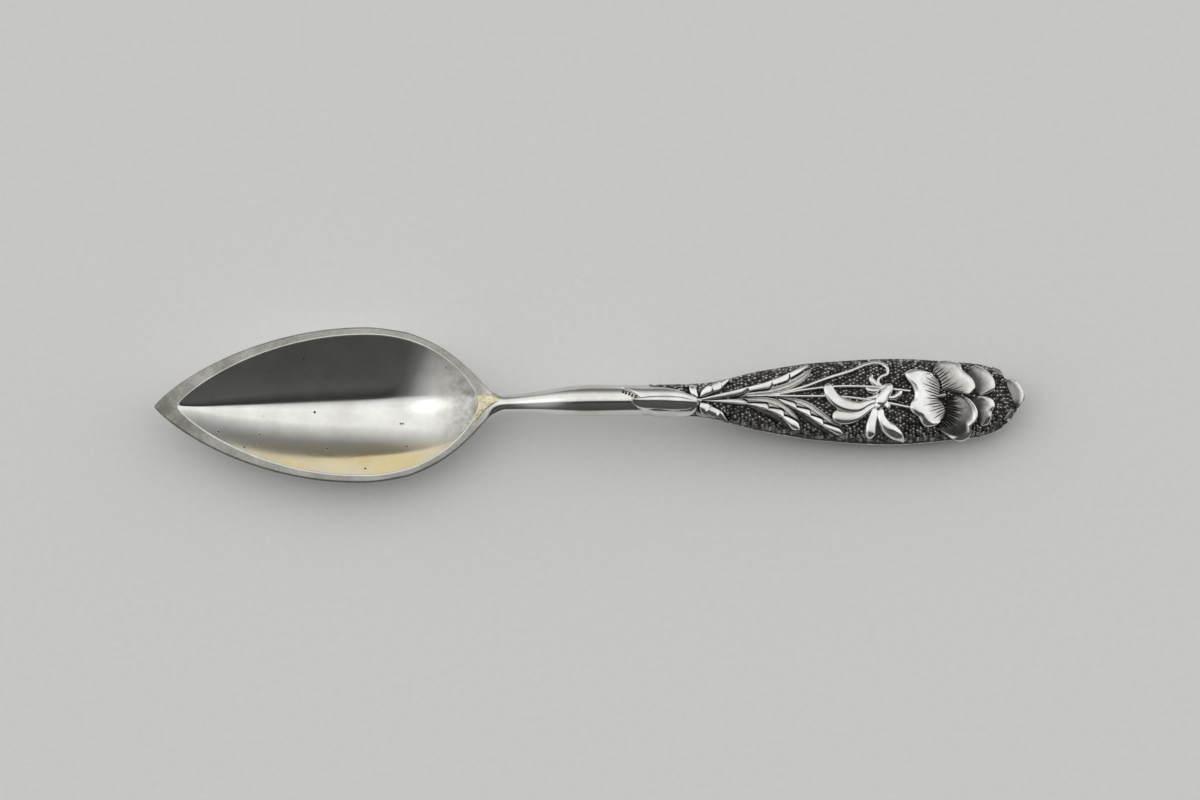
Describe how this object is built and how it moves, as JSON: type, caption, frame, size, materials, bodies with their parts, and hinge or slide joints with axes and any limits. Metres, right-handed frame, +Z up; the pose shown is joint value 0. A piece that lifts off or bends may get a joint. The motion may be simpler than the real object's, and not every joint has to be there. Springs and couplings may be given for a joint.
{
  "type": "nut spoon",
  "caption": "Silver serving spoon for nuts: deep pointed bowl with a flat rim, slim arched stem and a hollow handle with flower and leaf relief.",
  "frame": {"origin": "under the middle of the spoon's length, on the surface that it rests on", "axes": "+X along the spoon from the bowl to the handle, +Y across it, +Z up out of the open bowl"},
  "size_m": [0.144, 0.026, 0.0121],
  "materials": {
    "polished_silver": "polished silver with fine scratches and a worn pale gold wash inside the bowl",
    "yellow_solder": "pale yellow, pitted hard solder",
    "oxidised_silver": "struck silver, dark oxide in the recesses and polished on the raised parts",
    "silver_solder": "dull silver solder",
    "filler_pitch": "dark brown hard filling"
  },
  "bodies": {
    "root": {"bowl": "polished_silver", "stem": "polished_silver", "heel_solder": "yellow_solder", "front_shell": "oxidised_silver", "back_shell": "oxidised_silver", "seam_solder": "silver_solder", "mouth_solder": "silver_solder", "filler_core": "filler_pitch"}
  },
  "joints": []
}
